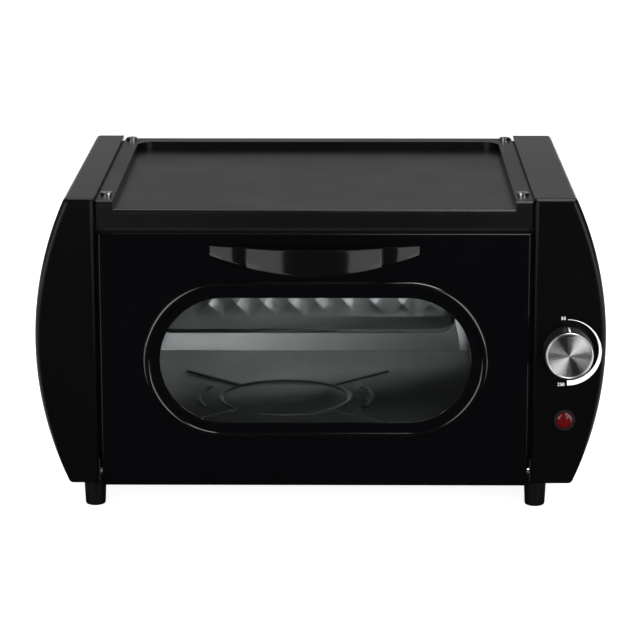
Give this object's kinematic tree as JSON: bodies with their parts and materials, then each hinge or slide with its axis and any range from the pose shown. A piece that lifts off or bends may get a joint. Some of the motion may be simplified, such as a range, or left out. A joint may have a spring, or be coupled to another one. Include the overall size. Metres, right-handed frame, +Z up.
{
  "type": "electric tandoor oven",
  "caption": "Countertop electric tandoor: a flat oven with a drop-down window door, a crescent handle, a recessed griddle top, and a dial and pilot lamp in its right side cover.",
  "frame": {"origin": "on the table, under the middle of the box that the whole oven fills", "axes": "+X to the right as seen from the front, +Y to the back, +Z up; the door faces -Y"},
  "size_m": [0.48, 0.344, 0.271],
  "materials": {
    "cover_black": "glossy black moulded plastic",
    "door_black": "glossy black baked enamel",
    "griddle_grey": "satin dark grey non-stick coat",
    "casing_steel": "plain galvanised sheet",
    "cavity_steel": "satin aluminised sheet",
    "screw_steel": "bright plated",
    "heater_steel": "dull heat-tinted sheath",
    "ceramic_white": "unglazed white ceramic",
    "glass_clear": "clear tempered pane",
    "gasket_black": "matt silicone",
    "handle_black": "glossy black moulded plastic",
    "knob_black": "glossy black moulded plastic",
    "knob_metal": "spun, finely ringed",
    "foot_black": "matt black",
    "lens_red": "clear red lens",
    "copper_capillary": "plain copper",
    "wire_sheath": "woven heat-proof sleeve",
    "inner_plastic": "plain moulding",
    "bush_brass": "plain turned"
  },
  "bodies": {
    "oven": {"left_side_cover": "cover_black", "right_side_cover": "cover_black", "cover_screws": "screw_steel", "griddle_plate": "griddle_grey", "griddle_screws": "screw_steel", "left_casing_panel": "casing_steel", "right_casing_panel": "casing_steel", "front_frame": "casing_steel", "base_pan": "casing_steel", "back_panel": "casing_steel", "back_panel_screws": "screw_steel", "left_hinge_plate": "casing_steel", "right_hinge_plate": "casing_steel", "hinge_pins": "screw_steel", "hinge_washers": "screw_steel", "hinge_plate_screws": "screw_steel", "cavity_left_wall": "cavity_steel", "cavity_right_wall": "cavity_steel", "cavity_roof": "cavity_steel", "cavity_back_wall": "cavity_steel", "cavity_floor": "cavity_steel", "floor_ledges": "cavity_steel", "lower_heating_rods": "heater_steel", "upper_heating_rods": "heater_steel", "rod_insulators": "ceramic_white", "heater_link_wires": "wire_sheath", "thermostat_body": "inner_plastic", "thermostat_bracket": "casing_steel", "thermostat_screws": "screw_steel", "sensor_bulb": "copper_capillary", "sensor_clips": "casing_steel", "capillary_tube": "copper_capillary", "terminal_block": "ceramic_white", "inner_wires": "wire_sheath", "cable_gland": "inner_plastic", "lamp_lens": "lens_red", "lamp_bezel": "screw_steel", "lamp_nut": "screw_steel", "lamp_body": "inner_plastic", "foot_front_left": "foot_black", "foot_back_left": "foot_black", "foot_front_right": "foot_black", "foot_back_right": "foot_black", "foot_screws": "screw_steel"},
    "door": {"door_panel": "door_black", "front_glass_gasket": "gasket_black", "door_glass": "glass_clear", "rear_glass_gasket": "gasket_black", "door_inner_panel": "cavity_steel", "left_door_rail": "casing_steel", "right_door_rail": "casing_steel", "hinge_bushes": "bush_brass", "door_screws": "screw_steel", "door_handle": "handle_black", "handle_screws": "screw_steel"},
    "knob": {"knob_body": "knob_black", "knob_cap": "knob_metal", "thermostat_shaft": "screw_steel"}
  },
  "joints": [
    {"name": "door_hinge", "type": "hinge", "parent": "oven", "child": "door", "pos_m": [-0.005, -0.142, 0.034], "axis": [1, 0, 0], "range_deg": [0, 90]},
    {"name": "knob_turn", "type": "hinge", "parent": "oven", "child": "knob", "pos_m": [0.2075, -0.158, 0.142], "axis": [0, 1, 0], "range_deg": [0, 180]}
  ]
}
